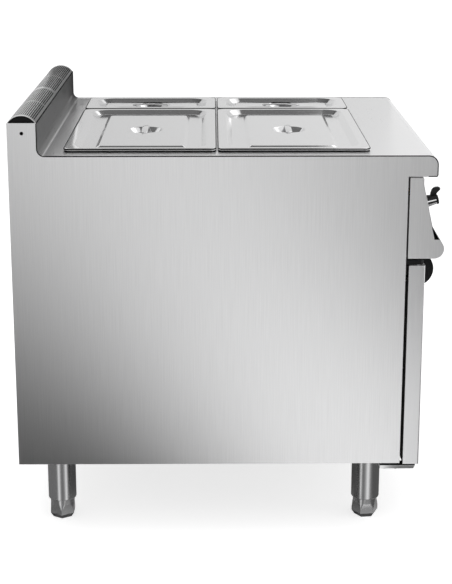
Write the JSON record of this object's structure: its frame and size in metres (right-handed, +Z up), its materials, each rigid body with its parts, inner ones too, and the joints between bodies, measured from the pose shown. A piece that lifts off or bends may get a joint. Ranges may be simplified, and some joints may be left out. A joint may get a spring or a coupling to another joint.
{
  "type": "bain-marie with cabinet",
  "caption": "Freestanding heated water well with lift-out covered pans over a hinged-door cabinet, with a sloping control panel, flue upstand and levelling feet.",
  "frame": {"origin": "on the floor under the middle of the overall box", "axes": "+Z up, -Y towards the doors, +X to the right seen from the front"},
  "size_m": [0.8, 0.92, 0.936],
  "materials": {
    "steel_panel": "brushed along the sheet",
    "steel_door": "brushed upright",
    "pan_steel": "bright satin",
    "steel_foot": "turned, satin",
    "bright_steel": "bright plated",
    "black_metal": "black coated",
    "black_plastic": "gloss moulded",
    "grey_plastic": "matt moulded",
    "lamp_lens": "clear amber moulded",
    "valve_brass": "nickel-tinged cast",
    "heater_sheath": "heat-stained sheath"
  },
  "bodies": {
    "cabinet": {"side_panel_left": "steel_panel", "side_panel_right": "steel_panel", "back_panel": "steel_panel", "cabinet_floor": "steel_panel", "front_rail": "steel_panel", "worktop": "steel_panel", "flue_grille_left": "steel_panel", "flue_grille_right": "steel_panel", "control_panel": "steel_panel", "control_panel_end_left": "steel_panel", "control_panel_end_right": "steel_panel", "well_tank": "steel_panel", "pan_bars": "steel_panel", "leg_tubes": "steel_panel", "heating_element": "heater_sheath", "hinge_arm_left": "black_metal", "hinge_arm_right": "black_metal", "hinge_plate_left": "steel_panel", "hinge_plate_right": "steel_panel", "hinge_pins": "bright_steel", "door_magnets": "black_plastic", "thermostat": "black_plastic", "pilot_lamps": "lamp_lens", "drain_valve": "valve_brass", "drain_pipe": "steel_panel", "terminal_box": "grey_plastic", "cable_gland": "black_plastic"},
    "door_left": {"door_left_skin": "steel_door", "door_left_liner": "steel_door", "door_left_handle": "black_plastic"},
    "door_right": {"door_right_skin": "steel_door", "door_right_liner": "steel_door", "door_right_handle": "black_plastic"},
    "knob": {"knob_barrel": "bright_steel", "knob_lever": "black_plastic"},
    "drain_lever": {"drain_lever": "black_metal"},
    "pan_rear_large": {"pan_rear_large": "pan_steel"},
    "lid_rear_large": {"lid_rear_large": "pan_steel", "lid_grip_rear_large": "pan_steel"},
    "pan_rear_small": {"pan_rear_small": "pan_steel"},
    "lid_rear_small": {"lid_rear_small": "pan_steel", "lid_grip_rear_small": "pan_steel"},
    "pan_front_large": {"pan_front_large": "pan_steel"},
    "lid_front_large": {"lid_front_large": "pan_steel", "lid_grip_front_large": "pan_steel"},
    "pan_front_small": {"pan_front_small": "pan_steel"},
    "lid_front_small": {"lid_front_small": "pan_steel", "lid_grip_front_small": "pan_steel"},
    "foot_rear_left": {"foot_rear_left": "steel_foot"},
    "foot_rear_right": {"foot_rear_right": "steel_foot"},
    "foot_front_left": {"foot_front_left": "steel_foot"},
    "foot_front_right": {"foot_front_right": "steel_foot"}
  },
  "joints": [
    {"name": "door_left_hinge", "type": "hinge", "parent": "cabinet", "child": "door_left", "pos_m": [-0.387, -0.406, 0.384], "axis": [0, 0, -1], "range_deg": [0, 115]},
    {"name": "door_right_hinge", "type": "hinge", "parent": "cabinet", "child": "door_right", "pos_m": [0.387, -0.406, 0.384], "axis": [0, 0, 1], "range_deg": [0, 115]},
    {"name": "knob_turn", "type": "hinge", "parent": "cabinet", "child": "knob", "pos_m": [-0.33, -0.42357, 0.735], "axis": [0, 0.975, -0.2221], "range_deg": [0, 270]},
    {"name": "drain_lever_turn", "type": "hinge", "parent": "cabinet", "child": "drain_lever", "pos_m": [0.2885, -0.2305, 0.5551], "axis": [0, 1, 0], "range_deg": [0, 90]},
    {"name": "pan_rear_large_lift", "type": "slide", "parent": "cabinet", "child": "pan_rear_large", "axis": [0, 0, 1], "range_m": [0, 0.2]},
    {"name": "lid_rear_large_lift", "type": "slide", "parent": "pan_rear_large", "child": "lid_rear_large", "axis": [0, 0, 1], "range_m": [0, 0.15]},
    {"name": "pan_rear_small_lift", "type": "slide", "parent": "cabinet", "child": "pan_rear_small", "axis": [0, 0, 1], "range_m": [0, 0.2]},
    {"name": "lid_rear_small_lift", "type": "slide", "parent": "pan_rear_small", "child": "lid_rear_small", "axis": [0, 0, 1], "range_m": [0, 0.15]},
    {"name": "pan_front_large_lift", "type": "slide", "parent": "cabinet", "child": "pan_front_large", "axis": [0, 0, 1], "range_m": [0, 0.2]},
    {"name": "lid_front_large_lift", "type": "slide", "parent": "pan_front_large", "child": "lid_front_large", "axis": [0, 0, 1], "range_m": [0, 0.15]},
    {"name": "pan_front_small_lift", "type": "slide", "parent": "cabinet", "child": "pan_front_small", "axis": [0, 0, 1], "range_m": [0, 0.2]},
    {"name": "lid_front_small_lift", "type": "slide", "parent": "pan_front_small", "child": "lid_front_small", "axis": [0, 0, 1], "range_m": [0, 0.15]},
    {"name": "foot_rear_left_level", "type": "slide", "parent": "cabinet", "child": "foot_rear_left", "axis": [0, 0, -1], "range_m": [0, 0.025]},
    {"name": "foot_rear_right_level", "type": "slide", "parent": "cabinet", "child": "foot_rear_right", "axis": [0, 0, -1], "range_m": [0, 0.025]},
    {"name": "foot_front_left_level", "type": "slide", "parent": "cabinet", "child": "foot_front_left", "axis": [0, 0, -1], "range_m": [0, 0.025]},
    {"name": "foot_front_right_level", "type": "slide", "parent": "cabinet", "child": "foot_front_right", "axis": [0, 0, -1], "range_m": [0, 0.025]}
  ]
}
